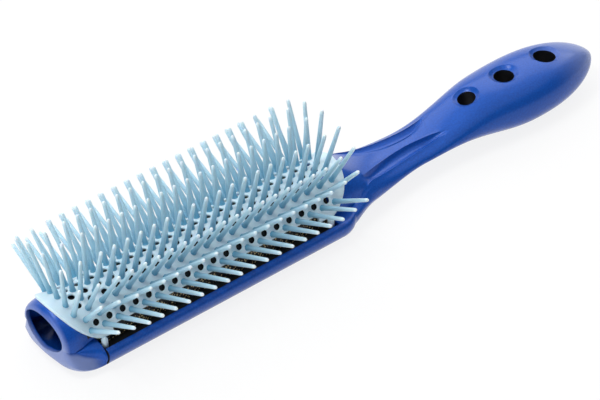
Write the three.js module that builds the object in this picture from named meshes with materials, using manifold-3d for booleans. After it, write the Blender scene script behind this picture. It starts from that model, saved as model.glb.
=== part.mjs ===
// Vented hair styling brush: a trough-shaped head on a slim handle, a sprung sheet of pins that
// arches over a vented core, and a nose cap with an air mouth.
// Millimetres. X runs from the nose to the handle's end, Z is up from the flat back to the pin tips.
import * as THREE from 'three';
import { mergeVertices } from 'three/addons/utils/BufferGeometryUtils.js';
import Module from 'manifold-3d';

const wasm = await Module();
wasm.setup();

// Driving dimensions. Lengths along X are measured from the middle of the pin pad.
const fit_gap = 0.3;              // clearance between pieces that seat on or slide in each other
const join_depth = 1.2;           // how far joined shapes run into each other inside one moulding

const pad_axis_height = 8.2;      // centre of the pad's arch, above the flat back
const pad_radius = 13.05;         // outside of the pin sheet
const pad_thickness = 1.2;
const pad_lip_length = 10.1;      // how far the pad runs past the rails, at its crown
const pad_end_spare = 4.5;        // the rear end's radius, over half the sheet's width along its arc
const nose_lip_length = 11.3;     // the same two sizes at the nose
const nose_end_spare = 1.9;
const pad_edge_angle = 71.5;      // long edge of the sheet, degrees from the crown
const pad_tab_angle = 84;         // the corner tabs reach further down
const pad_tab_length = 6;
const pad_tab_overlap = 4;        // degrees that a tab runs up into the sheet
const pad_foot_diameter = 2.2;    // bead under each corner tab
const pad_foot_offset = 0.35;     // bead centre outside the sheet's surface

const pin_length = 19.7;
const pin_pitch = 5;
const pin_foot_diameter = 2.2;
const pin_tip_diameter = 1.15;
const pin_lean_ends = [10, 6];    // outward lean of the outermost and second columns, degrees
const pin_lean_limit = 70;        // row angle at which that lean has run out
const pin_draw_in = [5.5, 2.5];   // how far those columns turn in towards the crown at the sides
const pin_draw_angle = 35;        // row angle from which they do so fully
const nose_column_shift = [1.25, 0.55];   // at the nose they follow the sheet's rounder end
const middle_rows = [0, 17.7, 34.9];   // pin rows either side of the crown, degrees
const middle_row_pins = 21;
const side_rows = [48, 64.4];
const side_row_pins = 20;
const middle_vent_rows = [8.5, 25];    // vent holes lie half a pitch off the pins beside them
const side_vent_row = 57.7;
const vent_diameter = 2.24;

const mesh_thickness = 0.5;
const core_wall = 1.4;
const core_rib_length = 2.4;
const core_rib_count = 5;
const sill_thickness = 1.4;
const sill_width = 7;

const head_width = 35.2;
const head_corner_radius = 6.1;   // along both long edges of the back
const corner_limit = 0.85;        // largest share of a small section that its corners take
const rail_half_length = 46.1;    // middle of the pad to the cap seam, and to the rear shoulder
const rail_top_height = 7.7;
const rail_lip = 2.4;             // wall at the top of each rail
const groove_wall = 1.8;          // wall outside the groove that the sills run in
const ledge_height = 4;           // the sills slide on these ledges
const floor_thickness = 1.6;
const channel_width = 19;         // deep middle of the trough, under the sills

const shoulder_length = 9.3;      // solid rear of the head, behind the rails
const corner_length = 8.2;        // the head's rear corners, rounded over this length
const dome_length = 10;           // arched top of the shoulder, under the pad's rear lip
const dome_fall = 14;             // length over which the dome sinks into the neck
const dome_narrowing = 0.35;      // share of its width that the dome loses on the way
const wing_start = 50;            // the neck flares into the shoulder up to here
const wing_width = 32.2;
const wing_slope = 0.55;          // rise of the flare's top, per length
const wing_power = 1.5;
const neck_distance = 87;         // slimmest place of the handle
const neck_width = 18.8;
const neck_top_height = 10.4;
const neck_underside = 4.8;
const grip_distance = 134;        // widest place of the handle
const grip_width = 26.8;
const grip_top_height = 18.1;
const grip_underside = 0;
const handle_end_distance = 166.4;
const grip_rise = [92, 117];      // where the top climbs from the neck to the grip
const grip_width_power = 1.25;    // how late the handle widens towards the grip
const neck_top_power = 3;         // how quickly the shoulder's top falls to the neck
const tail_width_powers = [2.2, 0.6];     // roundness of the handle's end, seen from above
const tail_thickness_powers = [3, 0.7];   // and from the side
const oval_power = 2;
const grip_squareness = 2.3;      // power of the grip's section, a little squarer than an oval
const grip_square_start = 96;
const grip_square_full = 124;

const flute_place = 0.45;         // two leaf-shaped flutes on the neck, as a share of its half width
const flute_radius = 3.8;
const flute_depth = 0.9;
const flute_runout = 0.3;         // share of its depth that a flute's ends rise clear of the surface
const flute_start_distance = 60;
const flute_end_distance = 104;

const hang_holes = [              // distance from the pad's middle, diameter
  [112.4, 6.3],
  [129, 7],
  [147, 7.7],
];
const hole_dish_width = 1.1;
const hole_dish_depth = 0.9;

const nose_length = 12.6;         // cap, from the seam to its front
const nose_height = 8;            // level that the cap's lower half rounds in to
const nose_roundness = 2.3;
const brow_roundness = 6;
const bulge_length = 5;           // swelling of the cap's front round the mouth
const bulge_width = 25;
const bulge_thickness = 15;
const bulge_height = 10.2;
const mouth_cheek = 1.65;         // wall beside the mouth, inside the arch
const mouth_brow = 1.85;          // wall over it
const mouth_sill_height = 6.1;
const tongue_length = 12;         // the cap's tongue lies on the trough's floor
const tongue_thickness = 1.3;
const tongue_width = 14;

// Sizes that follow from those above.
const radians = Math.PI / 180;
const pad_inner_radius = pad_radius - pad_thickness;
const mesh_radius = pad_inner_radius - fit_gap;
const mesh_inner_radius = mesh_radius - mesh_thickness;
const core_radius = mesh_inner_radius - fit_gap;
const core_inner_radius = core_radius - core_wall;
const head_half_width = head_width / 2;
const lip_half_width = head_half_width - rail_lip;
const groove_half_width = head_half_width - groove_wall;
const sill_bottom = ledge_height + fit_gap;
const sill_top = sill_bottom + sill_thickness;
const groove_top = sill_top + fit_gap;
const sill_outer = groove_half_width - fit_gap;
const rail_front = -rail_half_length + fit_gap;
const core_half_length = rail_half_length - fit_gap;
const shoulder_end = rail_half_length + shoulder_length;
const dome_end = rail_half_length + dome_length;
const nose_front = -rail_half_length - nose_length;
const mouth_half_width = mesh_radius - mouth_cheek;
const mouth_half_height = (pad_axis_height + mesh_radius - mouth_brow - mouth_sill_height) / 2;

// Shared shape helpers.
function solid(geometry) {
  geometry.deleteAttribute('normal');
  geometry.deleteAttribute('uv');
  const merged = mergeVertices(geometry, 1e-5);
  return new wasm.Manifold(new wasm.Mesh({
    numProp: 3,
    vertProperties: new Float32Array(merged.attributes.position.array),
    triVerts: new Uint32Array(merged.index.array),
  }));
}

function joined(solids) {
  return solids.reduce((whole, next) => whole.add(next));
}

function piece(name, body, colour, roughness, metalness) {
  const mesh = body.getMesh();
  const geometry = new THREE.BufferGeometry();
  geometry.setAttribute('position', new THREE.BufferAttribute(new Float32Array(mesh.vertProperties), 3));
  geometry.setIndex(new THREE.BufferAttribute(new Uint32Array(mesh.triVerts), 1));
  geometry.computeVertexNormals();
  const material = new THREE.MeshStandardMaterial({ color: colour, roughness, metalness });
  const made = new THREE.Mesh(geometry, material);
  made.name = name;
  return made;
}

// A closed skin over rings of equally many points, each ring flat and convex, listed anticlockwise
// as seen from the last ring.
function loft(rings) {
  const sides = rings[0].length;
  const points = rings.flat();
  const faces = [];
  for (let r = 0; r + 1 < rings.length; r += 1) {
    for (let i = 0; i < sides; i += 1) {
      const a = r * sides + i;
      const b = r * sides + (i + 1) % sides;
      faces.push(a, b, b + sides, a, b + sides, a + sides);
    }
  }
  const last = (rings.length - 1) * sides;
  for (let i = 1; i + 1 < sides; i += 1) {
    faces.push(0, i + 1, i, last, last + i, last + i + 1);
  }
  const geometry = new THREE.BufferGeometry().setFromPoints(points);
  geometry.setIndex(faces);
  return solid(geometry);
}

// A shape drawn with Y across and Z up, pushed along X.
function bar(shape, from, to, curve_segments) {
  const geometry = new THREE.ExtrudeGeometry(shape, {
    depth: to - from, bevelEnabled: false, curveSegments: curve_segments,
  });
  const across = new THREE.Vector3(0, 1, 0);
  const up = new THREE.Vector3(0, 0, 1);
  const along = new THREE.Vector3(1, 0, 0);
  geometry.applyMatrix4(new THREE.Matrix4().makeBasis(across, up, along));
  geometry.translate(from, 0, 0);
  return solid(geometry);
}

function box(from, to) {
  const size = new THREE.Vector3().subVectors(to, from);
  const geometry = new THREE.BoxGeometry(size.x, size.y, size.z);
  geometry.translate((from.x + to.x) / 2, (from.y + to.y) / 2, (from.z + to.z) / 2);
  return solid(geometry);
}

// A point on an arch about the pad's axis, with the angle measured from the crown towards +Y.
function on_arch(x, radius, angle) {
  const y = radius * Math.sin(angle * radians);
  const z = pad_axis_height + radius * Math.cos(angle * radians);
  return new THREE.Vector3(x, y, z);
}

// Part of a tube about the pad's axis that stands on the level given, open below.
function arch(outer, inner, foot_level, from, to, segments) {
  const reach = (radius) => Math.acos((foot_level - pad_axis_height) / radius);
  const shape = new THREE.Shape();
  shape.absarc(0, pad_axis_height, outer, Math.PI / 2 - reach(outer), Math.PI / 2 + reach(outer), false);
  shape.absarc(0, pad_axis_height, inner, Math.PI / 2 + reach(inner), Math.PI / 2 - reach(inner), true);
  return bar(shape, from, to, segments);
}

// Pin pad: one thin moulding, with leaning pins at both ends and a bead under each corner tab.
function rounded_end(angle, lip_length, spare) {
  const along_surface = pad_radius * Math.abs(angle) * radians;
  const end_radius = pad_radius * pad_tab_angle * radians + spare;
  return rail_half_length + lip_length - end_radius + Math.sqrt(end_radius ** 2 - along_surface ** 2);
}

function pad_end(angle) {
  return rounded_end(angle, pad_lip_length, pad_end_spare);
}

function pad_nose_end(angle) {
  return -rounded_end(angle, nose_lip_length, nose_end_spare);
}

// Part of an arched sheet: at each angle it runs from start(angle) to end(angle) along X.
function sheet(angles, outer, inner, start, end) {
  return loft(angles.map((angle) => [
    on_arch(start(angle), outer, angle),
    on_arch(end(angle), outer, angle),
    on_arch(end(angle), inner, angle),
    on_arch(start(angle), inner, angle),
  ]));
}

function pin(x, angle, axis_angle, lean) {
  const root = on_arch(x, pad_radius - pad_thickness / 2, angle);
  const outward = on_arch(0, 1, axis_angle).sub(on_arch(0, 0, axis_angle));
  const axis = outward.clone().multiplyScalar(Math.cos(lean * radians));
  axis.x = Math.sin(lean * radians);
  const side = new THREE.Vector3().crossVectors(axis, new THREE.Vector3(1, 0, 0)).normalize();
  const front = new THREE.Vector3().crossVectors(axis, side);
  const ring = (distance, diameter) => [0, 1, 2, 3].map((corner) => {
    const turn = Math.PI / 4 + corner * Math.PI / 2;
    return root.clone()
      .addScaledVector(axis, distance)
      .addScaledVector(side, Math.cos(turn) * diameter / 2)
      .addScaledVector(front, Math.sin(turn) * diameter / 2);
  });
  const skin = pad_thickness / 2;
  return loft([
    ring(0, pin_foot_diameter),
    ring(skin + pin_length, pin_tip_diameter),
  ]);
}

function vent(x, angle) {
  const sides = 6;
  const hole = new THREE.CylinderGeometry(
    vent_diameter / 2, vent_diameter / 2, 4 * pad_thickness, sides, 1, false, Math.PI / sides);
  hole.rotateX(Math.PI / 2 - angle * radians);
  const middle = on_arch(x, pad_radius - pad_thickness / 2, angle);
  hole.translate(middle.x, middle.y, middle.z);
  return solid(hole);
}

function row_places(count) {
  return Array.from({ length: count }, (_, i) => (i - (count - 1) / 2) * pin_pitch);
}

function both_sides(angles) {
  return angles.flatMap((angle) => (angle === 0 ? [0] : [-angle, angle]));
}

// The sheet is flat from row to row: its creases lie midway between neighbouring rows.
function sheet_angles() {
  const rows = both_sides([...middle_rows, ...side_rows, ...middle_vent_rows, side_vent_row]);
  rows.sort((a, b) => a - b);
  const creases = rows.slice(1).map((angle, i) => (angle + rows[i]) / 2);
  return [-pad_edge_angle, ...creases, pad_edge_angle];
}

function make_pin_pad() {
  let pad = sheet(sheet_angles(), pad_radius, pad_inner_radius, pad_nose_end, pad_end);

  for (const side of [-1, 1]) {
    for (const end of [-1, 1]) {
      const reach = [
        pad_edge_angle - pad_tab_overlap, (pad_edge_angle + pad_tab_angle) / 2, pad_tab_angle];
      const angles = side < 0 ? reach.map((angle) => -angle).reverse() : reach;
      const tab_start = () => pad_end(pad_tab_angle) - pad_tab_length;
      const tab = sheet(angles, pad_radius, pad_inner_radius, tab_start, pad_end);
      const foot_reach = rail_half_length - fit_gap - pad_foot_diameter / 2 - fit_gap;
      const foot_bottom = sill_top + fit_gap;
      const foot_top = on_arch(0, pad_radius, pad_tab_angle).z + pad_thickness;
      const foot = new THREE.CylinderGeometry(
        pad_foot_diameter / 2, pad_foot_diameter / 2, foot_top - foot_bottom, 8);
      foot.rotateX(Math.PI / 2);
      foot.translate(foot_reach, side * (pad_radius + pad_foot_offset), (foot_top + foot_bottom) / 2);
      const corner = tab.add(solid(foot));
      pad = pad.add(end < 0 ? corner.mirror([1, 0, 0]) : corner);
    }
  }

  const vents = [];
  for (const angle of both_sides(middle_vent_rows)) {
    row_places(middle_row_pins - 1).forEach((x) => vents.push(vent(x, angle)));
  }
  for (const angle of both_sides([side_vent_row])) {
    row_places(side_row_pins - 1).forEach((x) => vents.push(vent(x, angle)));
  }
  pad = pad.subtract(joined(vents));

  const pins = [];
  const add_row = (angle, count) => row_places(count).forEach((x, i) => {
    const from_end = Math.min(i, count - 1 - i);
    const lean = (pin_lean_ends[from_end] ?? 0) * (1 - (angle / pin_lean_limit) ** 2);
    const drawn = (pin_draw_in[from_end] ?? 0) * Math.min(Math.abs(angle) / pin_draw_angle, 1);
    const shift = x < 0 ? (nose_column_shift[from_end] ?? 0) * Math.cos(angle * radians) ** 2 : 0;
    pins.push(pin(x - shift, angle, angle - drawn * Math.sign(angle), lean * Math.sign(x)));
  });
  both_sides(middle_rows).forEach((angle) => add_row(angle, middle_row_pins));
  both_sides(side_rows).forEach((angle) => add_row(angle, side_row_pins));
  return pad.add(joined(pins));
}

// Vent mesh: a thin half tube between the pad and the core, standing on the core's sills.
function make_vent_mesh() {
  return arch(
    mesh_radius, mesh_inner_radius, sill_top + fit_gap, -core_half_length, core_half_length, 16);
}

// Vent core: two sills that slide in the rails, carrying a row of arched ribs.
function make_vent_core() {
  const parts = [];
  for (const side of [-1, 1]) {
    const inner = side * (sill_outer - sill_width);
    const outer = side * sill_outer;
    parts.push(box(
      new THREE.Vector3(-core_half_length, Math.min(inner, outer), sill_bottom),
      new THREE.Vector3(core_half_length, Math.max(inner, outer), sill_top)));
  }
  for (let i = 0; i < core_rib_count; i += 1) {
    const pitch = (2 * core_half_length - core_rib_length) / (core_rib_count - 1);
    const start = -core_half_length + i * pitch;
    parts.push(arch(
      core_radius, core_inner_radius, sill_top - join_depth / 2, start, start + core_rib_length, 10));
  }
  return joined(parts);
}

// Half of the head's outline from the middle of the back to the top of one side, mirrored: a flat
// back, rounded long edges and upright sides.
function head_ring(x, half_width, bottom, top) {
  const radius = Math.min(
    head_corner_radius, half_width * corner_limit, (top - bottom) * corner_limit);
  const arc_steps = 5;
  const right = [];
  for (let i = 0; i <= arc_steps; i += 1) {
    const turn = (Math.PI / 2) * (i / arc_steps);
    const y = half_width - radius + radius * Math.sin(turn);
    const z = bottom + radius - radius * Math.cos(turn);
    right.push(new THREE.Vector3(x, y, z));
  }
  right.push(new THREE.Vector3(x, half_width, top));
  const left = right.map((point) => new THREE.Vector3(x, -point.y, point.z)).reverse();
  return [...right, ...left];
}

// Handle: it flares out of the neck into the shoulder, swells into the grip and tapers to a rounded end.
function ease(t) {
  return (1 - Math.cos(Math.PI * t)) / 2;
}

function share_between(x, from, to) {
  return Math.min(Math.max((x - from) / (to - from), 0), 1);
}

// Middle of the top, from the dome's crown down to the neck.
function spine_height(x) {
  const crown = pad_axis_height + mesh_radius;
  const left = 1 - share_between(x, dome_end, neck_distance);
  return neck_top_height + (crown - neck_top_height) * left ** neck_top_power;
}

function handle_section(x) {
  const neck_half = neck_width / 2;
  const grip_half = grip_width / 2;
  if (x <= neck_distance) {
    const flare = 1 - share_between(x, wing_start, neck_distance);
    return {
      half: neck_half + (wing_width / 2 - neck_half) * flare ** wing_power,
      top: Math.min(rail_top_height + wing_slope * (x - wing_start), spine_height(x)),
      bottom: neck_underside * ease(1 - flare),
    };
  }
  if (x <= grip_distance) {
    const swell = ease(share_between(x, neck_distance, grip_distance) ** grip_width_power);
    const climb = ease(share_between(x, ...grip_rise));
    return {
      half: neck_half + (grip_half - neck_half) * swell,
      top: neck_top_height + (grip_top_height - neck_top_height) * climb,
      bottom: neck_underside + (grip_underside - neck_underside) * swell,
    };
  }
  const t = share_between(x, grip_distance, handle_end_distance);
  const middle = (grip_top_height + grip_underside) / 2;
  const thin = (1 - t ** tail_thickness_powers[0]) ** tail_thickness_powers[1];
  return {
    half: grip_half * (1 - t ** tail_width_powers[0]) ** tail_width_powers[1],
    top: middle + (grip_top_height - middle) * thin,
    bottom: middle + (grip_underside - middle) * thin,
  };
}

function oval_ring(x, half_width, bottom, level, top, sides, squareness = oval_power) {
  const squared = (value) => Math.sign(value) * Math.abs(value) ** (2 / squareness);
  return Array.from({ length: sides }, (_, i) => {
    const turn = 2 * Math.PI * i / sides;
    const rise = Math.sin(turn) > 0 ? top - level : level - bottom;
    const across = half_width * squared(Math.cos(turn));
    return new THREE.Vector3(x, across, level + rise * squared(Math.sin(turn)));
  });
}

function handle_ring(x) {
  const { half, top, bottom } = handle_section(x);
  const squared = ease(share_between(x, grip_square_start, grip_square_full));
  const power = oval_power + (grip_squareness - oval_power) * squared;
  return oval_ring(x, half, bottom, (top + bottom) / 2, top, 28, power);
}

function dome_ring(x) {
  const sunk = share_between(x, dome_end, dome_end + dome_fall);
  const half = mesh_radius * (1 - dome_narrowing * sunk);
  const bottom = handle_section(Math.max(x, wing_start)).bottom + join_depth * sunk;
  return oval_ring(x, half, bottom, pad_axis_height, spine_height(x) - join_depth * sunk, 28);
}

function stations(from, to, count) {
  return Array.from({ length: count + 1 }, (_, i) => from + (to - from) * i / count);
}

function make_handle() {
  const tail_length = handle_end_distance - grip_distance;
  const tail_shares = [0.2, 0.4, 0.58, 0.74, 0.87, 0.96, 0.995];
  const places = [
    ...stations(wing_start, neck_distance, 8),
    ...stations(neck_distance, grip_distance, 9).slice(1),
    ...tail_shares.map((share) => grip_distance + share * tail_length),
  ];
  const dome_places = [rail_half_length, ...stations(dome_end, dome_end + dome_fall, 4)];
  return loft(places.map(handle_ring)).add(loft(dome_places.map(dome_ring)));
}

function flute(side) {
  const steps = 12;
  const sides = 12;
  return loft(stations(0, 1, steps).map((share) => {
    const x = flute_start_distance + share * (flute_end_distance - flute_start_distance);
    const { half, top, bottom } = handle_section(x);
    const level = (top + bottom) / 2;
    const surface = level + (top - level) * Math.sqrt(1 - flute_place ** 2);
    const depth = flute_depth * ((1 + flute_runout) * Math.sin(Math.PI * share) - flute_runout);
    const centre = surface + flute_radius - depth;
    return oval_ring(x, flute_radius, centre - flute_radius, centre, centre + flute_radius, sides)
      .map((point) => point.setY(point.y + side * flute_place * half));
  }));
}

function hang_hole(distance, diameter) {
  const sides = 14;
  const { top, bottom } = handle_section(distance);
  const upright = (upper_radius, lower_radius, from, to) => {
    const geometry = new THREE.CylinderGeometry(upper_radius, lower_radius, to - from, sides);
    geometry.rotateX(Math.PI / 2);
    geometry.translate(distance, 0, (from + to) / 2);
    return solid(geometry);
  };
  const radius = diameter / 2;
  const wide = radius + 2 * hole_dish_width;
  const narrow = radius - hole_dish_width;
  const above = hole_dish_depth;
  const below = 2 * hole_dish_depth;
  return joined([
    upright(radius, radius, bottom - below, top + below),
    upright(wide, narrow, top - below, top + above),
    upright(narrow, wide, bottom - above, bottom + below),
  ]);
}

// Handle body: trough with rails, rear shoulder, neck and grip in one moulding.
function make_handle_body() {
  const end_steps = 5;
  const rings = [head_ring(rail_front, head_half_width, 0, rail_top_height)];
  const narrow = mesh_radius - join_depth;
  for (let i = 0; i <= end_steps; i += 1) {
    const turn = (Math.PI / 2) * (i / end_steps);
    const x = shoulder_end - corner_length * (1 - Math.sin(turn));
    const half_width = narrow + (head_half_width - narrow) * Math.cos(turn);
    rings.push(head_ring(x, half_width, 0, rail_top_height));
  }
  const trough = loft(rings);

  const channel_shape = new THREE.Shape();
  const half_channel = channel_width / 2;
  const outline = [
    [half_channel, floor_thickness],
    [half_channel, ledge_height],
    [groove_half_width, ledge_height],
    [groove_half_width, groove_top],
    [lip_half_width, groove_top],
    [lip_half_width, rail_top_height + join_depth],
  ];
  outline.forEach(([y, z], i) => (i === 0 ? channel_shape.moveTo(y, z) : channel_shape.lineTo(y, z)));
  outline.slice().reverse().forEach(([y, z]) => channel_shape.lineTo(-y, z));
  channel_shape.closePath();
  const channel = bar(channel_shape, rail_front - join_depth, rail_half_length, 1);

  let body = trough.subtract(channel).add(make_handle());
  for (const side of [-1, 1]) {
    body = body.subtract(flute(side));
  }
  for (const [distance, diameter] of hang_holes) {
    body = body.subtract(hang_hole(distance, diameter));
  }
  return body;
}

// Tip cap: carries on the rails and the arch to a rounded front with an oval air mouth, and plugs
// into the trough with a flat tongue.
function nose_scale(x, roundness) {
  const t = (-rail_half_length - x) / nose_length;
  return Math.max(1 - t ** roundness, 0) ** (1 / roundness);
}

function make_tip_cap() {
  const shares = [0.96, 0.88, 0.76, 0.6, 0.42, 0.22, 0];
  const lower = loft(shares.map((share) => {
    const x = -rail_half_length - share * nose_length;
    const scale = nose_scale(x, nose_roundness);
    const bottom = nose_height * (1 - scale);
    const top = rail_top_height + (nose_height - rail_top_height) * (1 - scale);
    return head_ring(x, head_half_width * scale, Math.min(bottom, top - 1), top);
  }));
  const brow_sides = 24;
  const brow = loft(shares.map((share) => {
    const x = -rail_half_length - share * nose_length;
    const radius = mesh_radius * nose_scale(x, brow_roundness);
    return Array.from({ length: brow_sides }, (_, i) => {
      const turn = 2 * Math.PI * i / brow_sides;
      const rise = Math.sin(turn) > 0 ? radius : Math.min(radius, rail_top_height - join_depth);
      return new THREE.Vector3(x, radius * Math.cos(turn), pad_axis_height + rise * Math.sin(turn));
    });
  }));
  const bulge = new THREE.SphereGeometry(1, 24, 14);
  bulge.scale(bulge_length, bulge_width / 2, bulge_thickness / 2);
  bulge.translate(nose_front + bulge_length, 0, bulge_height);

  // The pad's front lip and corner tabs lie in a rebate of the cap.
  const rebate_steps = 16;
  const rebate_angle = pad_tab_angle + fit_gap / pad_radius / radians;
  const rebate_angles = Array.from(
    { length: rebate_steps + 1 }, (_, i) => rebate_angle * (2 * i / rebate_steps - 1));
  const rebate = sheet(
    rebate_angles, pad_radius + head_half_width, mesh_radius,
    (angle) => Math.min(pad_nose_end(angle), -pad_end(angle)) - fit_gap,
    () => -rail_half_length + join_depth);

  const mouth_shape = new THREE.Shape();
  const mouth_centre = mouth_sill_height + mouth_half_height;
  mouth_shape.absellipse(0, mouth_centre, mouth_half_width, mouth_half_height, 0, 2 * Math.PI);
  const mouth = bar(mouth_shape, nose_front - join_depth, -rail_half_length + join_depth, 24);

  const tongue_bottom = floor_thickness + fit_gap;
  const tongue = box(
    new THREE.Vector3(-rail_half_length - join_depth, -tongue_width / 2, tongue_bottom),
    new THREE.Vector3(-rail_half_length + tongue_length, tongue_width / 2, tongue_bottom + tongue_thickness));
  return lower.add(solid(bulge)).subtract(rebate).add(brow).subtract(mouth).add(tongue);
}

const brush = new THREE.Group();
brush.add(piece('handle_body', make_handle_body(), 0x14459f, 0.3, 0.25));
brush.add(piece('vent_core', make_vent_core(), 0x141414, 0.6, 0));
brush.add(piece('vent_mesh', make_vent_mesh(), 0x2a251d, 0.7, 0.2));
brush.add(piece('pin_pad', make_pin_pad(), 0xb4d6e6, 0.45, 0));
brush.add(piece('tip_cap', make_tip_cap(), 0x14459f, 0.3, 0.25));

// The origin lies under the middle of the whole brush, on the surface it rests on.
brush.position.x = -(nose_front + handle_end_distance) / 2;

export default brush;
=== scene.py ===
"""Vented hair styling brush: the looks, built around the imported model."""

import math

import bmesh
import bpy
from mathutils import Matrix, Vector


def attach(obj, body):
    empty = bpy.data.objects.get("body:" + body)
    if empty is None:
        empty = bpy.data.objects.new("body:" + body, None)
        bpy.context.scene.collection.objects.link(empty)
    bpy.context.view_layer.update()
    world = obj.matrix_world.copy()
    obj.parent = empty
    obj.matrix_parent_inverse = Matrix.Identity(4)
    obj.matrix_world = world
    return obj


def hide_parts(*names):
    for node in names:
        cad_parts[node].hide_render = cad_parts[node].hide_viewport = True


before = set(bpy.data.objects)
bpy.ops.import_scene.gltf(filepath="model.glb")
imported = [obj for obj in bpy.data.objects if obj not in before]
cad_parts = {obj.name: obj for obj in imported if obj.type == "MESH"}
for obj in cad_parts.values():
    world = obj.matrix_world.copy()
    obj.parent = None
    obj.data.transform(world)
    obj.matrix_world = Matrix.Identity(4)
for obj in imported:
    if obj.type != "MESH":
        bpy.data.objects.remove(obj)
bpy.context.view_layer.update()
scene = bpy.context.scene
scene.view_settings.view_transform = "Standard"

# Stage: a plain white sheet of paper that the brush lies on, soft boxes behind, overhead and on the
# nose's side with a small key box, and a camera at the photograph's viewing angle.
camera_azimuth = math.radians(-35.99)
camera_elevation = math.radians(38.06)
camera_roll = math.radians(-3.67)
camera_distance = 1.0736
camera_target = Vector((-0.01022, 0.00156, 0.00866))
focal_length_mm = 200.5

back = Vector((
    math.sin(camera_azimuth) * math.cos(camera_elevation),
    -math.cos(camera_azimuth) * math.cos(camera_elevation),
    math.sin(camera_elevation),
))
level_right = Vector((math.cos(camera_azimuth), math.sin(camera_azimuth), 0))
level_up = back.cross(level_right)
right = math.cos(camera_roll) * level_right + math.sin(camera_roll) * level_up
up = -math.sin(camera_roll) * level_right + math.cos(camera_roll) * level_up
camera_data = bpy.data.cameras.new("camera")
camera_data.lens = focal_length_mm
camera_data.sensor_width = 36
camera_data.clip_start = 0.01
camera = bpy.data.objects.new("camera", camera_data)
scene.collection.objects.link(camera)
camera.matrix_world = (
    Matrix.Translation(camera_target + camera_distance * back)
    @ Matrix((right, up, back)).transposed().to_4x4()
)
scene.camera = camera


def linear(hex_colour):
    """An sRGB hex value as linear RGBA."""
    parts = [int(hex_colour[i:i + 2], 16) / 255 for i in (1, 3, 5)]
    return [p / 12.92 if p <= 0.04045 else ((p + 0.055) / 1.055) ** 2.4 for p in parts] + [1]


def add_node(tree, kind, inputs=(), **settings):
    """Adds a node, sets it up, and gives its inputs values or links."""
    made = tree.nodes.new(kind)
    for name, value in settings.items():
        setattr(made, name, value)
    for name, value in dict(inputs).items():
        if isinstance(value, bpy.types.NodeSocket):
            tree.links.new(value, made.inputs[name])
        else:
            made.inputs[name].default_value = value
    return made


def new_material(name):
    material = bpy.data.materials.new(name)
    material.use_nodes = True
    material.node_tree.nodes.clear()
    return material


def finish_material(material, shader):
    tree = material.node_tree
    add_node(tree, "ShaderNodeOutputMaterial", {"Surface": shader.outputs[0]})


# Matt white paper: burns out to plain white in the picture and in reflections, and keeps a faint
# share of its own shading, so that the brush's soft shadow stays.
paper = new_material("matt white paper")
tree = paper.node_tree
sheet = add_node(tree, "ShaderNodeBsdfDiffuse", {"Color": linear("#f4f4f4")})
glow = add_node(tree, "ShaderNodeEmission", {"Color": linear("#ffffff"), "Strength": 1})
ray = add_node(tree, "ShaderNodeLightPath")
seen = add_node(tree, "ShaderNodeMath", {
    0: ray.outputs["Is Camera Ray"], 1: ray.outputs["Is Glossy Ray"]}, operation="MAXIMUM")
seen = add_node(tree, "ShaderNodeMath", {
    0: seen.outputs[0], 1: ray.outputs["Is Transmission Ray"]}, operation="MAXIMUM")
burn_share = 0.85
burn = add_node(
    tree, "ShaderNodeMath", {0: seen.outputs[0], 1: burn_share}, operation="MULTIPLY")
finish_material(paper, add_node(tree, "ShaderNodeMixShader", {
    0: burn.outputs[0], 1: sheet.outputs[0], 2: glow.outputs[0]}))

floor_size = 6
floor_mesh = bpy.data.meshes.new("floor")
bm = bmesh.new()
bmesh.ops.create_grid(bm, x_segments=1, y_segments=1, size=floor_size / 2)
bm.to_mesh(floor_mesh)
bm.free()
floor_mesh.materials.append(paper)
floor = bpy.data.objects.new("floor", floor_mesh)
scene.collection.objects.link(floor)

world = bpy.data.worlds.new("studio")
world.use_nodes = True
world.node_tree.nodes["Background"].inputs["Color"].default_value = linear("#e8edf5")
world.node_tree.nodes["Background"].inputs["Strength"].default_value = 0.15
scene.world = world
lamp_aim = Vector((-0.02, 0, 0.02))


def soft_box(name, place, size, power):
    lamp = bpy.data.lights.new(name, "AREA")
    lamp.shape = "RECTANGLE"
    lamp.size, lamp.size_y = size
    lamp.energy = power
    lit = bpy.data.objects.new(name, lamp)
    lit.location = place
    lit.rotation_euler = (lamp_aim - lit.location).to_track_quat("-Z", "Y").to_euler()
    scene.collection.objects.link(lit)


soft_box("back box", Vector((0.4, 0.8, 0.85)), (2.2, 0.8), 12)
soft_box("low back box", Vector((0.5, 1.2, 0.2)), (2.6, 0.4), 3)
soft_box("nose side box", Vector((-1.0, -0.1, 0.25)), (1.2, 0.35), 4)
soft_box("overhead box", Vector((0.2, -0.2, 1.1)), (1.5, 1.5), 5.5)
soft_box("key box", Vector((-0.4, 0.1, 1.0)), (0.4, 0.4), 5)

# Handle body: head trough, shoulder, neck and grip moulded in one piece from pearl blue ABS,
# with two thumb flutes on the neck and three dished hanging holes. Millimetres from the pad's
# middle, as in the part's source.
MM = 0.001
pad_middle = -0.05385             # metres along the frame's X
fit_gap = 0.3
pad_axis_height = 8.2
arch_radius = 11.55               # the dome and the cap's brow, under the pad
rail_half_length = 46.1
rail_top = 7.7
head_half_width = 17.6
corner_radius = 6.1
rail_edge = 1.55
shoulder_end = 55.4
corner_length = 8.2
shoulder_narrow = 10.35
dome_end = 56.1
wing_start, wing_half_width, wing_power = 50, 16.1, 1.5
neck, neck_half_width, neck_top, neck_underside = 87, 9.4, 11, 4.8
neck_fall_power = 3
grip, grip_half_width, grip_top = 134, 13.4, 18.1
grip_rise, grip_width_power = (88, 121), 1.25
handle_end = 166.4
tail_width_powers, tail_thickness_powers = (2.2, 0.6), (2.6, 0.7)


def share_between(x, start, end):
    return min(max((x - start) / (end - start), 0), 1)


def ease(t):
    return (1 - math.cos(math.pi * t)) / 2


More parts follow.
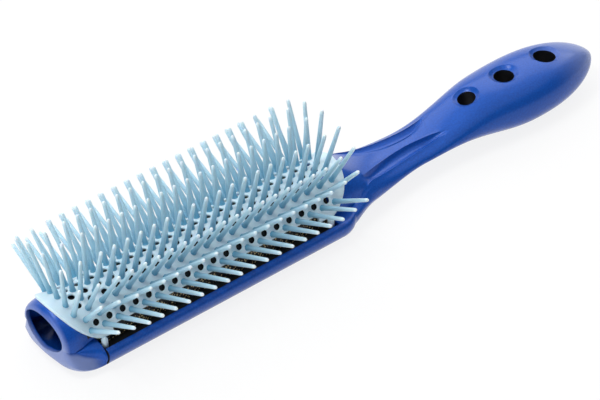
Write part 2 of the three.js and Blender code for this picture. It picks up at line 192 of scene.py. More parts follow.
def handle_sizes(x):
    """Half width, top and underside of the handle body at a distance along it."""
    if x <= neck:
        flare = 1 - share_between(x, wing_start, neck)
        wing = neck_half_width + (wing_half_width - neck_half_width) * flare ** wing_power
        turned = share_between(x, shoulder_end - corner_length, shoulder_end)
        corner = shoulder_narrow + (head_half_width - shoulder_narrow) * math.sqrt(1 - turned ** 2)
        half = max(corner if x < shoulder_end else 0, wing if x > wing_start else 0)
        left = 1 - share_between(x, dome_end, neck)
        top = neck_top + (pad_axis_height + arch_radius - neck_top) * left ** neck_fall_power
        return half, top, neck_underside * ease(1 - flare)
    if x <= grip:
        swell = ease(share_between(x, neck, grip) ** grip_width_power)
        climb = ease(share_between(x, *grip_rise))
        return (
            neck_half_width + (grip_half_width - neck_half_width) * swell,
            neck_top + (grip_top - neck_top) * climb,
            neck_underside * (1 - swell),
        )
    t = share_between(x, grip, handle_end)
    slim = (1 - t ** tail_width_powers[0]) ** tail_width_powers[1]
    thin = (1 - t ** tail_thickness_powers[0]) ** tail_thickness_powers[1]
    return grip_half_width * slim, grip_top / 2 * (1 + thin), grip_top / 2 * (1 - thin)


# Points of half a section, counted from the middle of the top to the middle of the bottom.
dome_points, ledge_points, edge_points, side_points, corner_points, back_points = 16, 6, 4, 4, 9, 9
half_points = dome_points + ledge_points + edge_points + side_points + corner_points + back_points
spine_points, flute_points = 5, 10


def spread(start, end, count):
    return [start + (end - start) * (i + 1) / count for i in range(count)]


def steps(start, end, count):
    return [start] + spread(start, end, count)


def domed_half(half, top, bottom, dome_half):
    """Half a section of the head: an arch on a ledge, an upright side and a round corner."""
    points = [(0, top)]
    for turn in spread(0, math.pi / 2, dome_points):
        points.append((dome_half * math.sin(turn), rail_top + (top - rail_top) * math.cos(turn)))
    for y in spread(dome_half, half - rail_edge, ledge_points):
        points.append((y, rail_top))
    for turn in spread(0, math.pi / 2, edge_points):
        points.append((
            half - rail_edge + rail_edge * math.sin(turn),
            rail_top - rail_edge + rail_edge * math.cos(turn)))
    for z in spread(rail_top - rail_edge, bottom + corner_radius, side_points):
        points.append((half, z))
    for turn in spread(0, math.pi / 2, corner_points):
        points.append((
            half - corner_radius + corner_radius * math.cos(turn),
            bottom + corner_radius - corner_radius * math.sin(turn)))
    for y in spread(half - corner_radius, 0, back_points):
        points.append((y, bottom))
    return points


flute_rim, flute_lean = 0.2, 0.75     # raised edges, as a share of the depth; deepest near the spine


def oval_half(half, top, bottom, squareness, spine, flute_edge, flute_depth):
    """Half an oval section, its points lined up with the two edges of a flute."""
    level = (top + bottom) / 2
    upper_points = half_points // 2
    inner = math.asin((spine / half) ** (squareness / 2))
    outer = math.asin((flute_edge / half) ** (squareness / 2))
    turns = steps(0, inner, spine_points) + spread(inner, outer, flute_points)
    turns += spread(outer, math.pi / 2, upper_points - spine_points - flute_points)
    turns += spread(math.pi / 2, math.pi, half_points - upper_points)
    points = []
    for i, turn in enumerate(turns):
        across = share_between(i, spine_points, spine_points + flute_points)
        sunk = flute_depth * math.sin(math.pi * across ** flute_lean)
        if i in (spine_points, spine_points + flute_points):
            sunk = -flute_rim * flute_depth
        y = half * max(math.sin(turn), 0) ** (2 / squareness)
        z = (top - level) * abs(math.cos(turn)) ** (2 / squareness)
        points.append((y, level + math.copysign(z, math.cos(turn)) - sunk))
    return points


def blend_points(first, second, share):
    return [(a + (c - a) * share, b + (d - b) * share) for (a, b), (c, d) in zip(first, second)]


def whole_ring(x, half):
    """A full ring of points from half a section, the other half mirrored."""
    ring = [Vector((x, y, z)) for y, z in half]
    return ring + [Vector((p.x, -p.y, p.z)) for p in reversed(ring[1:-1])]


# The spine between the flutes is slimmest on the neck and spreads both ways; the flutes' outer
# edges spread towards the shoulder. Limits are shares of the handle's half width.
head_to_oval = (53, 66)
spine_slimmest, spine_half_width, spine_limit = 86, 1.7, 0.62
spine_spread_to_head, spine_spread_to_grip = 0.0109, 0.0174
flute_edge_narrowest, flute_edge_half_width, flute_edge_limit = 96, 5.9, 0.78
flute_edge_spread, flute_least_width = 0.0037, 0.08
flute_depth, flute_start, flute_end = 1.4, (59.5, 66), (92, 100.5)
oval_power, grip_squareness, square_range = 2, 0.3, (104, 130)


def handle_ring(x):
    """A full ring of the handle body: the head's section, easing into a fluted oval."""
    half, top, bottom = handle_sizes(x)
    morph = share_between(x, *head_to_oval)
    morph = morph * morph * (3 - 2 * morph)
    spread_rate = spine_spread_to_head if x < spine_slimmest else spine_spread_to_grip
    spine = min(spine_half_width + spread_rate * (x - spine_slimmest) ** 2, spine_limit * half)
    flute_edge = flute_edge_half_width + flute_edge_spread * max(flute_edge_narrowest - x, 0) ** 2
    flute_edge = max(min(flute_edge, flute_edge_limit * half), spine + flute_least_width * half)
    starting, ending = share_between(x, *flute_start), share_between(x, *flute_end)
    depth = flute_depth * ease(starting) * ease(1 - ending)
    squareness = oval_power + grip_squareness * ease(share_between(x, *square_range))
    oval = oval_half(half, top, bottom, squareness, spine, flute_edge, depth)
    if morph == 1:
        return whole_ring(x, oval)
    dome_top = top if x > rail_half_length else rail_top
    domed = domed_half(half, dome_top, bottom, arch_radius)
    return whole_ring(x, blend_points(domed, oval, morph))


def extrude_ring(bm, ring):
    """Extrudes a closed ring of vertices and returns the new ring in the same order."""
    edges = [bm.edges.get((a, b)) for a, b in zip(ring, ring[1:] + ring[:1])]
    made = bmesh.ops.extrude_edge_only(bm, edges=edges)["geom"]
    fresh = {v for v in made if isinstance(v, bmesh.types.BMVert)}
    partner = {}
    for v in fresh:
        for e in v.link_edges:
            if e.other_vert(v) not in fresh:
                partner[e.other_vert(v)] = v
    return [partner[v] for v in ring]


def loft(bm, rings):
    """Skins rings of points by extruding a circle from ring to ring; returns the end rings."""
    ring = bmesh.ops.create_circle(bm, segments=len(rings[0]), radius=1)["verts"]
    first = ring
    for i, points in enumerate(rings):
        if i:
            ring = extrude_ring(bm, ring)
        for v, place in zip(ring, points):
            v.co = place
    return first, ring


def close_ring(bm, ring):
    edges = [bm.edges.get((a, b)) for a, b in zip(ring, ring[1:] + ring[:1])]
    bmesh.ops.contextual_create(bm, geom=edges)


weld_distance = 1e-4


def into_mesh(bm, name):
    """Turns a bmesh in millimetres from the pad's middle into an object in the frame."""
    bmesh.ops.remove_doubles(bm, verts=bm.verts, dist=weld_distance)
    bmesh.ops.recalc_face_normals(bm, faces=bm.faces)
    bmesh.ops.transform(
        bm, matrix=Matrix.Translation((pad_middle, 0, 0)) @ Matrix.Scale(MM, 4), verts=bm.verts)
    mesh = bpy.data.meshes.new(name)
    bm.to_mesh(mesh)
    bm.free()
    made = bpy.data.objects.new(name, mesh)
    scene.collection.objects.link(made)
    return made


def cut(piece, cutter):
    """Takes the cutter's shape out of a piece, and the cutter out of the scene."""
    modifier = piece.modifiers.new("cut", "BOOLEAN")
    modifier.operation = "DIFFERENCE"
    modifier.solver = "EXACT"
    modifier.object = cutter
    graph = bpy.context.evaluated_depsgraph_get()
    mesh = bpy.data.meshes.new_from_object(piece.evaluated_get(graph))
    piece.modifiers.clear()
    spent = piece.data
    piece.data = mesh
    bpy.data.meshes.remove(spent)
    bpy.data.meshes.remove(cutter.data)


def smooth_shade(piece, sharp_degrees):
    piece.data.shade_smooth()
    piece.data.set_sharp_from_angle(angle=math.radians(sharp_degrees))


dome_step = 0.02                      # the dome stands up from the rails almost in one step
bm = bmesh.new()
places = steps(-rail_half_length + fit_gap, rail_half_length, 8)
places += [rail_half_length + dome_step, shoulder_end - corner_length]
places += spread(shoulder_end - corner_length, dome_end, 24)
places += spread(dome_end, neck, 40)
places += spread(neck, grip, 50)
tail = [math.sin(t) for t in spread(0, math.pi / 2, 32)]
places += [grip + (handle_end - grip) * t for t in tail[:-1]]
first, last = loft(bm, [handle_ring(x) for x in places])
close_ring(bm, first)
close_ring(bm, last)
handle_shell = into_mesh(bm, "handle_shell")

floor_thickness, ledge_height, half_channel = 1.6, 4, 9.5
groove_half_width, groove_top, lip_half_width, lip_chamfer = 15.8, 6, 15.2, 0.35
channel = [
    (half_channel, floor_thickness),
    (half_channel, ledge_height),
    (groove_half_width, ledge_height),
    (groove_half_width, groove_top),
    (lip_half_width, groove_top),
    (lip_half_width, rail_top - lip_chamfer),
    (lip_half_width + 3 * lip_chamfer, rail_top + 2 * lip_chamfer),
]
outline = channel + [(-y, z) for y, z in reversed(channel)]
overrun = 2
bm = bmesh.new()
first, last = loft(bm, [
    [Vector((x, y, z)) for y, z in outline]
    for x in (-rail_half_length - overrun, rail_half_length)])
close_ring(bm, first)
close_ring(bm, last)
cut(handle_shell, into_mesh(bm, "channel_cutter"))


def spin_cutter(bm, profile, sides, matrix):
    """Spins a profile of radius and height into a round cutter, and moves it to its place."""
    spun = [bm.verts.new((r, 0, z)) for r, z in profile]
    edges = [bm.edges.new(pair) for pair in zip(spun, spun[1:])]
    bmesh.ops.spin(
        bm, geom=spun + edges, cent=(0, 0, 0), axis=(0, 0, 1),
        angle=2 * math.pi, steps=sides, use_merge=True)
    fresh = [v for v in bm.verts if not v.tag]
    bmesh.ops.transform(bm, matrix=matrix, verts=fresh)
    for v in fresh:
        v.tag = True


hang_holes = [(112.4, 6.3), (129, 7.0), (147, 7.7)]      # distance along the handle, diameter
hole_sides = 48
dish_width, dish_depth, dish_rise = 2.3, 1.3, 0.1
dish_lip, dish_fall = 0.12, 0.7       # the part of a smooth step that the dish's wall follows
for side in (1, -1):
    bm = bmesh.new()
    for distance, diameter in hang_holes:
        half, top, bottom = handle_sizes(distance)
        ahead = handle_sizes(distance + diameter / 2)
        behind = handle_sizes(distance - diameter / 2)
        level = 1 if side == 1 else 2
        slope = math.atan2(ahead[level] - behind[level], diameter)
        profile = [
            (diameter / 2 + dish_width * (1 - share),
             dish_rise - (dish_depth + dish_rise) * ease(dish_lip + dish_fall * share))
            for share in steps(0, 1, 10)]
        profile.insert(0, (profile[0][0] + dish_rise, dish_depth))
        profile.append((diameter / 2, -(top - bottom) / 2 - dish_depth))
        surface = Vector((distance, 0, (0, top, bottom)[level]))
        spin_cutter(
            bm, [(r, side * z) for r, z in profile], hole_sides,
            Matrix.Translation(surface) @ Matrix.Rotation(-slope, 4, "Y"))
    bmesh.ops.holes_fill(bm, edges=bm.edges, sides=hole_sides)
    cut(handle_shell, into_mesh(bm, "hole_cutter"))
smooth_shade(handle_shell, 35)

# Pearl blue ABS: mica flakes under a clear skin give a grainy blue with a satin gloss. The flakes are
# drawn coarser than real ones, to show at all. A vertex attribute mixes in a pale lavender, a painted
# sheen on the grip's end and the cap's chin and a painted highlight on the cap's lip.
flake_size, skin_relief = 0.6 * MM, 0.05 * MM
pearl_abs = new_material("pearl blue moulded ABS")
tree = pearl_abs.node_tree
place = add_node(tree, "ShaderNodeTexCoord").outputs["Object"]
flakes = add_node(tree, "ShaderNodeTexNoise", {"Vector": place, "Scale": 1 / flake_size, "Detail": 2})
tint = add_node(tree, "ShaderNodeMix", {
    0: flakes.outputs["Fac"], 6: linear("#033c94"), 7: linear("#0b5cc2")}, data_type="RGBA")
painted_sheen_node = add_node(tree, "ShaderNodeAttribute", attribute_name="painted_sheen")
# Painted sheen and highlight: where the attribute is 1 the blue turns to the pale lavender #8c9ac6.
tint = add_node(tree, "ShaderNodeMix", {
    0: painted_sheen_node.outputs["Fac"], 6: tint.outputs[2], 7: linear("#8c9ac6")}, data_type="RGBA")
skin = add_node(tree, "ShaderNodeBump", {
    "Height": flakes.outputs["Fac"], "Strength": 0.05, "Distance": skin_relief})
shader = add_node(tree, "ShaderNodeBsdfPrincipled", {
    "Base Color": tint.outputs[2], "Roughness": 0.5, "Metallic": 0.25, "Specular IOR Level": 0.15,
    "Sheen Weight": 0.06, "Sheen Roughness": 0.35, "Sheen Tint": linear("#c8d0ee"),
    "Coat Weight": 1, "Coat Roughness": 0.22, "Coat IOR": 1.3, "Normal": skin.outputs["Normal"]})
finish_material(pearl_abs, shader)
mould_grain = 0.4 * MM


def matt_moulding(name, colour, ior):
    """A plain matt plastic with the fine grain of its mould."""
    material = new_material(name)
    tree = material.node_tree
    place = add_node(tree, "ShaderNodeTexCoord").outputs["Object"]
    grain = add_node(tree, "ShaderNodeTexNoise", {"Vector": place, "Scale": 1 / mould_grain})
    skin = add_node(tree, "ShaderNodeBump", {
        "Height": grain.outputs["Fac"], "Strength": 0.2, "Distance": skin_relief})
    finish_material(material, add_node(tree, "ShaderNodeBsdfPrincipled", {
        "Base Color": linear(colour), "Roughness": 0.6, "IOR": ior,
        "Normal": skin.outputs["Normal"]}))
    return material


# Painted shade: a matt black without gloss on the walls of the hanging holes, the faces in the seam
# between cap and handle and the cap's seat under the pad's front lip, so that they read as plain dark
# gaps.
painted_shade_black = matt_moulding("matt black painted shade", "#070810", 1.5)

hole_wall_tilt, seam_facing = 0.5, 0.9
# Painted sheen on the grip's end: where it starts, how strong it is, and the upward tilt at which it
# is full.
painted_sheen_start, painted_sheen_share, painted_sheen_tilt = 140, 0.6, 0.6
handle_shell.data.materials.clear()
handle_shell.data.materials.append(pearl_abs)
handle_shell.data.materials.append(painted_shade_black)
# The hole walls and the faces in the seam get the black painted shade.
for face in handle_shell.data.polygons:
    spot = (face.center - Vector((pad_middle, 0, 0))) / MM
    for distance, diameter in hang_holes:
        inside = math.hypot(spot.x - distance, spot.y) < diameter / 2 + dish_width
        if inside and abs(face.normal.z) < hole_wall_tilt:
            face.material_index = 1
    if spot.x < -rail_half_length + 2 * fit_gap and face.normal.x < -seam_facing:
        face.material_index = 1
# Painted sheen: the grip's end is paled on its upward faces, as if lit from above.
painted_sheen_layer = handle_shell.data.attributes.new("painted_sheen", "FLOAT", "POINT")
for v, value in zip(handle_shell.data.vertices, painted_sheen_layer.data):
    x = (v.co.x - pad_middle) / MM
    towards_end = ease(share_between(x, painted_sheen_start, handle_end))
    value.value = painted_sheen_share * towards_end * ease(share_between(v.normal.z, 0, painted_sheen_tilt))
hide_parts("handle_body")
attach(handle_shell, "handle")

# Vent core: two sills and a row of ribs, moulded in matt black nylon; it slides in the rails and
# carries the mesh and the pad. The nylon has nearly no gloss, and stays a dark ground behind the mesh.
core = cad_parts["vent_core"]
core.data.materials.clear()
core.data.materials.append(matt_moulding("matt black moulded nylon", "#0c0c0d", 1.53))

# Vent mesh: a half tube of fine black weave between pad and core, with painted bronze glints where its
# threads cross.
mesh_outer, mesh_thickness, mesh_foot = 11.55, 0.5, 6.0
mesh_reach = rail_half_length - fit_gap
bm = bmesh.new()
foot_turn = math.acos((mesh_foot - pad_axis_height) / mesh_outer)
foot_half_width = mesh_outer * math.sin(foot_turn)
start = [
    bm.verts.new((x, -foot_half_width, mesh_foot)) for x in steps(-mesh_reach, mesh_reach, 40)]
edges = [bm.edges.new(pair) for pair in zip(start, start[1:])]
bmesh.ops.spin(
    bm, geom=start + edges, cent=(0, 0, pad_axis_height), axis=(1, 0, 0),
    angle=-2 * foot_turn, steps=64)
bmesh.ops.recalc_face_normals(bm, faces=bm.faces)
bmesh.ops.solidify(bm, geom=bm.faces, thickness=mesh_thickness)
vent_screen = into_mesh(bm, "vent_screen")
smooth_shade(vent_screen, 40)

# Black weave: painted bronze glints on black, and painted shade under the pad, where the glints are
# coloured out to plain black. The crossings are drawn 0.9 mm apart, coarser than real ones, to show at
# all.
thread, thread_relief, shade_height = 0.9 * MM, 0.2 * MM, 13 * MM
weave = new_material("black woven mesh")
tree = weave.node_tree
place = add_node(tree, "ShaderNodeTexCoord").outputs["Object"]
specks = add_node(tree, "ShaderNodeTexVoronoi", {"Vector": place, "Scale": 1 / thread})
# Painted glints: bronze #d2bb88 where the threads cross, black between.
painted_glint = add_node(tree, "ShaderNodeValToRGB", {"Fac": specks.outputs["Distance"]})
painted_glint.color_ramp.elements[0].color = linear("#d2bb88")
painted_glint.color_ramp.elements[0].position = 0.18
painted_glint.color_ramp.elements[1].color = linear("#080706")
painted_glint.color_ramp.elements[1].position = 0.42
level = add_node(tree, "ShaderNodeSeparateXYZ", {"Vector": place})
# Painted shade: above shade_height, under the pad, the weave is coloured plain black #050505.
painted_shade_under_pad = add_node(
    tree, "ShaderNodeMath", {0: level.outputs["Z"], 1: shade_height}, operation="GREATER_THAN")
tint = add_node(tree, "ShaderNodeMix", {
    0: painted_shade_under_pad.outputs[0], 6: painted_glint.outputs["Color"], 7: linear("#050505")}, data_type="RGBA")
skin = add_node(tree, "ShaderNodeBump", {
    "Height": specks.outputs["Distance"], "Strength": 0.8, "Distance": thread_relief})
shader = add_node(tree, "ShaderNodeBsdfPrincipled", {
    "Base Color": tint.outputs[2], "Roughness": 0.5, "IOR": 1.5,
    "Normal": skin.outputs["Normal"]})
finish_material(weave, shader)
vent_screen.data.materials.append(weave)
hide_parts("vent_mesh")
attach(vent_screen, "cartridge")

# Pin pad: a thin arched sheet of satin ice-blue nylon with rounded ends, a tab and a bead at each
# corner, and rows of vent holes with a light bevelled rim between the rows of pins.
pad_radius, pad_thickness, pad_edge_round = 13.05, 1.2, 0.4
pad_reach, pad_end_radius = 56.1, 23.6
nose_lift, nose_lift_power = 1.1, 4         # the nose's lip rides up on the cap's brow
pad_edge_angle, pad_tab_angle, pad_tab_length = 71.5, 84, 6
middle_rows, side_rows = (0, 17.7, 34.9), (48, 64.4)
middle_vent_rows, side_vent_row = (8.5, 25), 57.7
middle_pins, side_pins, pin_pitch = 21, 20, 5


def pad_end(angle):
    along = pad_radius * math.radians(angle)
    return pad_reach - pad_end_radius + math.sqrt(pad_end_radius ** 2 - along ** 2)


def on_arch(x, radius, angle):
    turn = math.radians(angle)
    return Vector((x, radius * math.sin(turn), pad_axis_height + radius * math.cos(turn)))


tab_start = pad_end(pad_tab_angle) - pad_tab_length
plain_columns, end_columns = 32, 8
tab_rows, sheet_rows = 3, 36
angles = spread(-pad_tab_angle, -pad_edge_angle, tab_rows)[:-1]
angles = [-pad_tab_angle] + angles + steps(-pad_edge_angle, pad_edge_angle, sheet_rows)
angles += spread(pad_edge_angle, pad_tab_angle, tab_rows)
columns = plain_columns + 2 * end_columns
bm = bmesh.new()
grid = bmesh.ops.create_grid(bm, x_segments=columns, y_segments=len(angles) - 1, size=1)["verts"]
for v in grid:
    column = round((v.co.x + 1) / 2 * columns)
    angle = angles[round((v.co.y + 1) / 2 * (len(angles) - 1))]
    reach = column - columns / 2
    over = max(abs(reach) - plain_columns / 2, 0) / end_columns
    x = tab_start * min(abs(reach) / (plain_columns / 2), 1) + (pad_end(angle) - tab_start) * over
    v.co = on_arch(math.copysign(x, reach), pad_radius, angle)
    v.co.z += nose_lift * over ** nose_lift_power if reach < 0 else 0
edge_height = on_arch(0, pad_radius, pad_edge_angle).z
loose = [
    f for f in bm.faces
    if abs(f.calc_center_median().x) < tab_start and f.calc_center_median().z < edge_height]
bmesh.ops.delete(bm, geom=loose, context="FACES")
bmesh.ops.recalc_face_normals(bm, faces=bm.faces)
crown = max(bm.faces, key=lambda f: f.calc_center_median().z)
if crown.normal.z < 0:
    bmesh.ops.reverse_faces(bm, faces=bm.faces)
bmesh.ops.solidify(bm, geom=bm.faces, thickness=pad_thickness)
rim = [e for e in bm.edges if e.is_manifold and e.calc_face_angle() > math.radians(60)]
bmesh.ops.bevel(
    bm, geom=rim, offset=pad_edge_round, segments=2, profile=0.5, material=-1,
    affect="EDGES", clamp_overlap=True)
pad_sheet = into_mesh(bm, "pad_sheet")


def row_places(count):
    return [(i - (count - 1) / 2) * pin_pitch for i in range(count)]


vent_radius, vent_chamfer, vent_sides = 1.12, 0.32, 14
vents = [
    (x, side * angle) for angle in middle_vent_rows for side in (-1, 1)
    for x in row_places(middle_pins - 1)]
vents += [(x, side * side_vent_row) for side in (-1, 1) for x in row_places(side_pins - 1)]
vent_profile = [
    (vent_radius + 2 * pad_thickness, -3 * pad_thickness), (vent_radius, -pad_thickness / 2),
    (vent_radius, -vent_chamfer), (vent_radius + 2 * vent_chamfer, vent_chamfer)]
bm = bmesh.new()
for x, angle in vents:
    spin_cutter(
        bm, vent_profile, vent_sides,
        Matrix.Translation(on_arch(x, pad_radius, angle))
        @ Matrix.Rotation(math.radians(-angle), 4, "X"))
bmesh.ops.holes_fill(bm, edges=bm.edges, sides=vent_sides)
cut(pad_sheet, into_mesh(bm, "vent_cutter"))
smooth_shade(pad_sheet, 50)

bead_diameter, bead_out, bead_rise = 2.2, 0.35, 0.6
bead_reach = rail_half_length - 2 * fit_gap - bead_diameter / 2
bead_bottom = 6.0
bead_top = on_arch(0, pad_radius, pad_tab_angle).z + bead_rise
bead_stretch = (bead_top - bead_bottom - bead_diameter) / 2
bm = bmesh.new()
for side in (-1, 1):
    for end in (-1, 1):
        middle = Vector((
            end * bead_reach, side * (pad_radius + bead_out), (bead_top + bead_bottom) / 2))
        ball = bmesh.ops.create_uvsphere(
            bm, u_segments=20, v_segments=12, radius=bead_diameter / 2)["verts"]
        for v in ball:
            v.co.z += math.copysign(bead_stretch, v.co.z) if abs(v.co.z) > 1e-6 else 0
            v.co += middle
pad_beads = into_mesh(bm, "pad_beads")
smooth_shade(pad_beads, 60)

# Satin ice-blue nylon: a soft, slightly see-through plastic that glows a little at its edges, with a
# faint cloudiness a few millimetres wide.
cloud_size, light_depth, light_reach = 6 * MM, 0.8 * MM, (0.5, 0.8, 1.0)
satin_nylon = new_material("satin ice-blue nylon")
tree = satin_nylon.node_tree
place = add_node(tree, "ShaderNodeTexCoord").outputs["Object"]
mottle = add_node(tree, "ShaderNodeTexNoise", {"Vector": place, "Scale": 1 / cloud_size, "Detail": 3})
tint = add_node(tree, "ShaderNodeMix", {
    0: mottle.outputs["Fac"], 6: linear("#c9e1ec"), 7: linear("#d6e9f2")}, data_type="RGBA")
shader = add_node(tree, "ShaderNodeBsdfPrincipled", {
    "Base Color": tint.outputs[2], "Roughness": 0.42, "IOR": 1.5, "Subsurface Weight": 0.25,
    "Subsurface Radius": light_reach, "Subsurface Scale": light_depth})
finish_material(satin_nylon, shader)
for piece in (pad_sheet, pad_beads):
    piece.data.materials.clear()
    piece.data.materials.append(satin_nylon)
    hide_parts("pin_pad")
    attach(piece, "cartridge")

# Pins: moulded in one with the pad, tapering from a flared foot to a ball tip. The two outermost
# columns at each end lean outwards in the middle rows and draw in towards the crown at the sides,
# and the nose's columns follow the pad's rounded end.
pin_length, pin_sides = 19.7, 8
pin_lean_ends, pin_lean_limit = (10, 6), 70          # degrees, running out at this row angle
pin_draw_in, pin_draw_angle = (5.5, 2.5), 35         # degrees, in full from this row angle
nose_column_shift = (1.25, 0.55)
pin_profile = [                                      # radius, height over the sheet
    (1.2, -0.3), (0.97, 0.4), (0.89, 1.3), (0.63, 18.9), (0.5, 19.4), (0.22, 19.66),
    (0, pin_length)]
bm = bmesh.new()
along = bm.verts.layers.float.new("along")
spun = [bm.verts.new((r, 0, z)) for r, z in pin_profile]
for v in spun:
    v[along] = v.co.z / pin_length
edges = [bm.edges.new(pair) for pair in zip(spun, spun[1:])]
bmesh.ops.spin(
    bm, geom=spun + edges, cent=(0, 0, 0), axis=(0, 0, 1),
    angle=2 * math.pi, steps=pin_sides, use_merge=True)
bmesh.ops.remove_doubles(bm, verts=bm.verts, dist=weld_distance)
pin_mesh = bpy.data.meshes.new("pin")
bm.to_mesh(pin_mesh)
pin_verts = len(bm.verts)
bm.free()

bm = bmesh.new()
rows = [(side * a, middle_pins) for a in middle_rows for side in ((1,) if a == 0 else (-1, 1))]
rows += [(side * a, side_pins) for a in side_rows for side in (-1, 1)]
for angle, count in rows:
    for i, x in enumerate(row_places(count)):
        lean, axis_angle = 0, angle
        from_end = min(i, count - 1 - i)
        if from_end < len(pin_lean_ends):
            lean = math.copysign(pin_lean_ends[from_end] * (1 - (angle / pin_lean_limit) ** 2), x)
            drawn = pin_draw_in[from_end] * min(abs(angle) / pin_draw_angle, 1)
            axis_angle -= math.copysign(drawn, angle)
            if x < 0:
                x -= nose_column_shift[from_end] * math.cos(math.radians(angle)) ** 2
        turned = (
            Matrix.Translation(on_arch(x, pad_radius, angle))
            @ Matrix.Rotation(math.radians(-axis_angle), 4, "X")
            @ Matrix.Rotation(math.radians(lean), 4, "Y")
        )
        bm.from_mesh(pin_mesh)
        bm.verts.ensure_lookup_table()
        bmesh.ops.transform(bm, matrix=turned, verts=bm.verts[-pin_verts:])
pins = into_mesh(bm, "pins")
smooth_shade(pins, 60)

# The pins' nylon: the same plastic, coloured darker at the crowded feet as painted shade and paler
# towards the tips as painted light.
pin_nylon = new_material("satin ice-blue nylon, thinning to the tip")
tree = pin_nylon.node_tree
height = add_node(tree, "ShaderNodeAttribute", attribute_name="along")
# Painted shade at the feet (#69a5c1), lightening along the pin to painted light at the tips (#e2eff5).
painted_shade_to_light = add_node(tree, "ShaderNodeValToRGB", {"Fac": height.outputs["Fac"]})
painted_shade_to_light.color_ramp.elements[0].color = linear("#69a5c1")
painted_shade_to_light.color_ramp.elements[0].position = 0.03
painted_shade_to_light.color_ramp.elements[1].color = linear("#e2eff5")
painted_shade_to_light.color_ramp.elements[1].position = 1
painted_shade_to_light.color_ramp.elements.new(0.25).color = linear("#a0c8da")
painted_shade_to_light.color_ramp.elements.new(0.92).color = linear("#bddae6")
shader = add_node(tree, "ShaderNodeBsdfPrincipled", {
    "Base Color": painted_shade_to_light.outputs["Color"], "Roughness": 0.4, "IOR": 1.5, "Subsurface Weight": 0.25,
    "Subsurface Radius": light_reach, "Subsurface Scale": light_depth})
finish_material(pin_nylon, shader)
pins.data.materials.append(pin_nylon)
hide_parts("pin_pad")
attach(pins, "cartridge")

# Nose cap: the same pearl blue ABS, moulded as one thin shell with an oval air mouth. On each cheek
# the rail runs on as a leaf that tapers away below a crease in the brow, and a flat tongue plugs the
# cap into the trough.
nose_reach, chin_reach = 11.4, 12.5
mouth_half_width, mouth_half_height, mouth_height = 9.7, 5.9, 11.9
leaf_length, crease_depth, crease_width = 8.2, 1.0, 0.4
brow_swell, swell_range = 0.8, (2, 8)
chin_turn = math.radians(35)
cap_wall, rim_round, seam_round, seam_share = 1.5, 0.45, 0.4, 0.008
corner_point = dome_points                                 # the crease between brow and leaf
jaw_point = dome_points + ledge_points + edge_points       # the crease between leaf and chin
cheek_point = jaw_point + 8
# Along the leaf from the seam to its tip: heights of the crease, and half widths and heights of the
# fold below it, which meets the crease at the tip.
crease_heights = [(0, 9.6), (1, 8.5)]
fold_half_widths = [(0, 17.4), (0.25, 15.2), (0.5, 14), (0.75, 13.3)]
fold_heights = [(0, 4.6), (0.25, 5.4), (0.5, 6.1), (0.75, 7)]
tip_fold, leaf_bulge, leaf_bend = 0.1, 0.1, 0.25
# Round the section from the crown to the back: the place on the mouth in degrees, how far the skin
# turns in degrees before it meets the mouth, its reach, and the roundness in width and in height.
mouth_places = [(0, 0), (corner_point, 86), (jaw_point, 106), (half_points, 180)]
skin_turns = [(0, 80), (jaw_point, 80), (cheek_point, 85), (half_points, 88)]
skin_reaches = [(0, nose_reach), (jaw_point, nose_reach), (half_points, chin_reach)]
width_powers = [
    (0, 4.5), (corner_point, 4), (jaw_point, 3), (cheek_point, 2.3), (half_points, 2.1)]
height_powers = [
    (0, 4.5), (corner_point, 4), (jaw_point, 3.2), (cheek_point, 4.5), (half_points, 3.2)]


def between(x, stops):
    """Straight steps between pairs of place and value."""
    for (a, low), (b, high) in zip(stops, stops[1:]):
        if x <= b:
            return low + (high - low) * share_between(x, a, b)
    return stops[-1][1]


def inset(points, wall):
    """Half a section moved inwards by a wall's thickness."""
    moved = []
    for i, (y, z) in enumerate(points):
        along = Vector(points[min(i + 1, len(points) - 1)]) - Vector(points[max(i - 1, 0)])
        along.normalize()
        moved.append((max(y + wall * along.y, 0), z - wall * along.x))
    return moved


def cap_half(ahead):
    """Half a section of the cap's outside, before the nose's rounding: the brow's arch, the leaf
    that carries on the rail and tapers away towards the mouth, and the chin below it."""
    t = min(ahead / leaf_length, 1)
    swell = brow_swell * ease(share_between(ahead, *swell_range))
    radius, level = arch_radius + swell, pad_axis_height + swell
    crease_turn = math.acos((between(t, crease_heights) - level) / radius)
    brow_turns = steps(0, crease_turn - crease_width / radius, dome_points - 1) + [crease_turn]
    points = [
        (radius * math.sin(turn), level + radius * math.cos(turn)) for turn in brow_turns]
    crease = Vector(points[-1])
    points[-1] = (crease.x - crease_depth * math.sqrt(1 - t), crease.y)
    fold = Vector((
        between(t, fold_half_widths + [(1, crease.x)]),
        between(t, fold_heights + [(1, crease.y - tip_fold)])))
    bend = Vector((fold.x + leaf_bulge, crease.y + leaf_bend * (fold.y - crease.y)))
    for share in spread(0, 1, ledge_points + edge_points):
        points.append(tuple(crease.lerp(bend, share).lerp(bend.lerp(fold, share), share)))
    middle = head_half_width - corner_radius

    def on_corner(turn):
        return (
            middle + corner_radius * math.cos(turn),
            corner_radius - corner_radius * math.sin(turn))

    for share in spread(0, 1, side_points):
        points.append(tuple(fold.lerp(Vector(on_corner(chin_turn)), share)))
    for turn in spread(chin_turn, math.pi / 2, corner_points):
        points.append(on_corner(turn))
    for y in spread(middle, 0, back_points):
        points.append((y, 0))
    return points


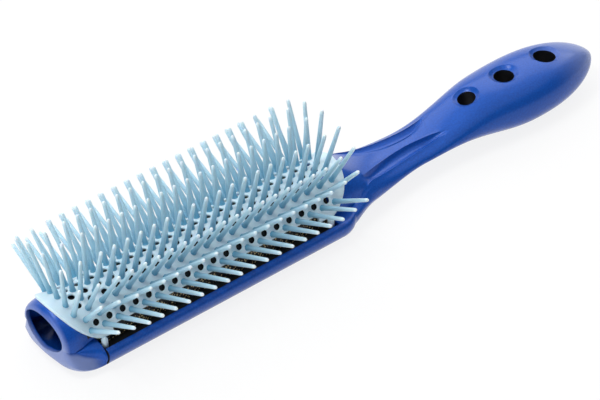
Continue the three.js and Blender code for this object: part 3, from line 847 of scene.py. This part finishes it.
def cap_ring(share, wall):
    """A ring of the cap's outside, or of its inside for a wall's thickness, from seam to mouth."""
    half = []
    for i in range(half_points + 1):
        round_mouth = math.radians(between(i, mouth_places))
        mouth_y = mouth_half_width * math.sin(round_mouth)
        mouth_z = mouth_height + mouth_half_height * math.cos(round_mouth)
        end = math.radians(between(i, skin_turns))
        power, fullness = between(i, width_powers), between(i, height_powers)
        turned = math.sin(share * end) / math.sin(end)
        ahead = (between(i, skin_reaches) - wall) * turned ** (2 / power)
        left = max((math.cos(share * end) - math.cos(end)) / (1 - math.cos(end)), 0)
        section = cap_half(ahead)
        y, z = (inset(section, wall) if wall else section)[i]
        half.append(Vector((
            -rail_half_length - ahead,
            mouth_y + (y - mouth_y) * left ** (2 / power),
            mouth_z + (z - mouth_z) * left ** (2 / fullness))))
    return half + [Vector((p.x, -p.y, p.z)) for p in reversed(half[1:-1])]


shares = [math.sin(t) for t in steps(0, math.pi / 2, 34)]
rings = [cap_ring(0, seam_round)] + [cap_ring(share, 0) for share in [seam_share] + shares[1:]]
rings += [cap_ring(share, cap_wall) for share in reversed(shares)]
bm = bmesh.new()
painted_sheen = bm.verts.layers.float.new("painted_sheen")
outer_seam, inner_seam = loft(bm, rings)

# Painted sheen over the chin, and a painted highlight on the lip round the mouth: the pearl is paled
# there.
cap_painted_sheen, chin_painted_sheen_range, lip_painted_highlight_range = 0.75, (0.5, 5), (9.8, 11)
chin_painted_sheen = [
    (jaw_point, 0), (jaw_point + 1, 1), (jaw_point + side_points + corner_points, 1),
    (half_points, 0.3)]
painted_sheen_at = {}
for ring in rings[1:len(shares) + 1]:
    for i, point in enumerate(ring):
        i = min(i, len(ring) - i)
        ahead = -point.x - rail_half_length
        chin = between(i, chin_painted_sheen) * ease(share_between(ahead, *chin_painted_sheen_range))
        lip = share_between(ahead, *lip_painted_highlight_range) * share_between(i, 0, corner_point)
        painted_sheen_at[tuple(point)] = cap_painted_sheen * max(chin, lip)
for v in bm.verts:
    v[painted_sheen] = painted_sheen_at.get(tuple(v.co), 0)
bmesh.ops.bridge_loops(bm, edges=[
    bm.edges.get((a, b)) for ring in (outer_seam, inner_seam)
    for a, b in zip(ring, ring[1:] + ring[:1])])
bmesh.ops.recalc_face_normals(bm, faces=bm.faces)
rim_sharpness, rim_slack = math.radians(40), 0.1
rim = [
    e for e in bm.edges
    if len(e.link_faces) == 2 and e.calc_face_angle() > rim_sharpness
    and all(-v.co.x - rail_half_length > nose_reach - rim_slack for v in e.verts)]
bmesh.ops.bevel(
    bm, geom=rim, offset=rim_round, segments=5, profile=0.5, material=-1,
    affect="EDGES", clamp_overlap=True)
tongue_width = 14
tongue_profile = [                          # distance behind the seam, height over the back
    (-4, 1.2), (-0.1, 1.2), (-0.1, 1.9), (11.7, 1.9), (12, 2.2), (12, 2.9), (11.7, 3.2), (-4, 3.2)]
first, last = loft(bm, [
    [Vector((along - rail_half_length, y, z)) for along, z in tongue_profile]
    for y in (-tongue_width / 2, tongue_width / 2)])
close_ring(bm, first)
close_ring(bm, last)
nose_cap = into_mesh(bm, "nose_cap")
smooth_shade(nose_cap, 24)
seat_length, seat_height, seam_tilt = 3.5, 10.5, 0.5      # seat under the pad's front lip, coloured with black painted shade
nose_cap.data.materials.append(pearl_abs)
nose_cap.data.materials.append(painted_shade_black)
# The seat under the pad's front lip and the faces in the seam get the black painted shade.
for face in nose_cap.data.polygons:
    spot = (face.center - Vector((pad_middle, 0, 0))) / MM
    seat = spot.x > -rail_half_length - seat_length and spot.z > seat_height
    seam = spot.x > -rail_half_length - 2 * seam_round and face.normal.x > seam_tilt
    face.material_index = 1 if seat or seam else 0
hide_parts("tip_cap")
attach(nose_cap, "cap")
